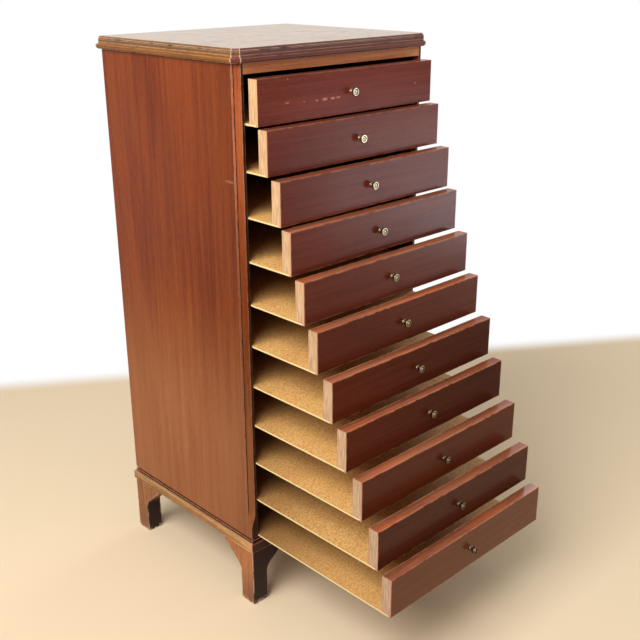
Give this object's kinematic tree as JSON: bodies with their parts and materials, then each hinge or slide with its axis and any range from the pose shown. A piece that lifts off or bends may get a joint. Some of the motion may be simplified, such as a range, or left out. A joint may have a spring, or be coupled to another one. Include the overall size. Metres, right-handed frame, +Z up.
{
  "type": "sheet music cabinet",
  "caption": "Upright mahogany-finish cabinet on bracket feet, with shallow trays that slide out on grooved runners, each with a solid front board and a small turned brass knob.",
  "frame": {"origin": "on the floor, midway between the sides, in the plane of the backs of the closed tray fronts", "axes": "+Z up, +X to the right as seen from the front; the trays slide out along -Y"},
  "size_m": [0.449, 0.7137, 1],
  "materials": {
    "mahogany_front": "worn satin varnish, fine grain across",
    "mahogany_veneer": "worn satin varnish, straight upright grain",
    "mahogany_top": "polished varnish",
    "mahogany_moulding": "satin varnish, worn light along the arrises",
    "mahogany_rail": "satin varnish",
    "mahogany_base": "worn satin varnish",
    "tray_panel": "dull, mottled with age",
    "secondary_wood": "bare, darkened with age",
    "stained_back": "thin stain, dull",
    "knob_brass": "worn pale brass"
  },
  "bodies": {
    "cabinet": {"top_board": "mahogany_top", "top_moulding_front": "mahogany_moulding", "top_moulding_left": "mahogany_moulding", "top_moulding_right": "mahogany_moulding", "top_moulding_rear": "mahogany_moulding", "top_moulding_corners": "mahogany_moulding", "top_rail_front": "mahogany_rail", "top_rail_rear": "secondary_wood", "side_left": "mahogany_veneer", "side_right": "mahogany_veneer", "corner_post_left": "mahogany_rail", "corner_post_right": "mahogany_rail", "back_panel": "stained_back", "bottom_board": "secondary_wood", "tray_runners_left": "secondary_wood", "tray_runners_right": "secondary_wood", "base_rail_front": "mahogany_base", "base_rail_left": "mahogany_base", "base_rail_right": "mahogany_base", "base_rail_rear": "mahogany_base", "foot_front_left": "mahogany_base", "foot_front_right": "mahogany_base", "foot_rear_left": "mahogany_base", "foot_rear_right": "mahogany_base", "foot_blocks": "mahogany_base"},
    "tray_1": {"tray_1_front": "mahogany_front", "tray_1_panel": "tray_panel", "tray_1_knob": "knob_brass"},
    "tray_2": {"tray_2_front": "mahogany_front", "tray_2_panel": "tray_panel", "tray_2_knob": "knob_brass"},
    "tray_3": {"tray_3_front": "mahogany_front", "tray_3_panel": "tray_panel", "tray_3_knob": "knob_brass"},
    "tray_4": {"tray_4_front": "mahogany_front", "tray_4_panel": "tray_panel", "tray_4_knob": "knob_brass"},
    "tray_5": {"tray_5_front": "mahogany_front", "tray_5_panel": "tray_panel", "tray_5_knob": "knob_brass"},
    "tray_6": {"tray_6_front": "mahogany_front", "tray_6_panel": "tray_panel", "tray_6_knob": "knob_brass"},
    "tray_7": {"tray_7_front": "mahogany_front", "tray_7_panel": "tray_panel", "tray_7_knob": "knob_brass"},
    "tray_8": {"tray_8_front": "mahogany_front", "tray_8_panel": "tray_panel", "tray_8_knob": "knob_brass"},
    "tray_9": {"tray_9_front": "mahogany_front", "tray_9_panel": "tray_panel", "tray_9_knob": "knob_brass"},
    "tray_10": {"tray_10_front": "mahogany_front", "tray_10_panel": "tray_panel", "tray_10_knob": "knob_brass"},
    "tray_11": {"tray_11_front": "mahogany_front", "tray_11_panel": "tray_panel", "tray_11_knob": "knob_brass"}
  },
  "joints": [
    {"name": "tray_1_slide", "type": "slide", "parent": "cabinet", "child": "tray_1", "axis": [0, -1, 0], "range_m": [-0.03, 0.295]},
    {"name": "tray_2_slide", "type": "slide", "parent": "cabinet", "child": "tray_2", "axis": [0, -1, 0], "range_m": [-0.05, 0.275]},
    {"name": "tray_3_slide", "type": "slide", "parent": "cabinet", "child": "tray_3", "axis": [0, -1, 0], "range_m": [-0.078, 0.247]},
    {"name": "tray_4_slide", "type": "slide", "parent": "cabinet", "child": "tray_4", "axis": [0, -1, 0], "range_m": [-0.1, 0.225]},
    {"name": "tray_5_slide", "type": "slide", "parent": "cabinet", "child": "tray_5", "axis": [0, -1, 0], "range_m": [-0.129, 0.196]},
    {"name": "tray_6_slide", "type": "slide", "parent": "cabinet", "child": "tray_6", "axis": [0, -1, 0], "range_m": [-0.158, 0.167]},
    {"name": "tray_7_slide", "type": "slide", "parent": "cabinet", "child": "tray_7", "axis": [0, -1, 0], "range_m": [-0.191, 0.134]},
    {"name": "tray_8_slide", "type": "slide", "parent": "cabinet", "child": "tray_8", "axis": [0, -1, 0], "range_m": [-0.222, 0.103]},
    {"name": "tray_9_slide", "type": "slide", "parent": "cabinet", "child": "tray_9", "axis": [0, -1, 0], "range_m": [-0.257, 0.068]},
    {"name": "tray_10_slide", "type": "slide", "parent": "cabinet", "child": "tray_10", "axis": [0, -1, 0], "range_m": [-0.293, 0.032]},
    {"name": "tray_11_slide", "type": "slide", "parent": "cabinet", "child": "tray_11", "axis": [0, -1, 0], "range_m": [-0.323, 0.002]}
  ]
}
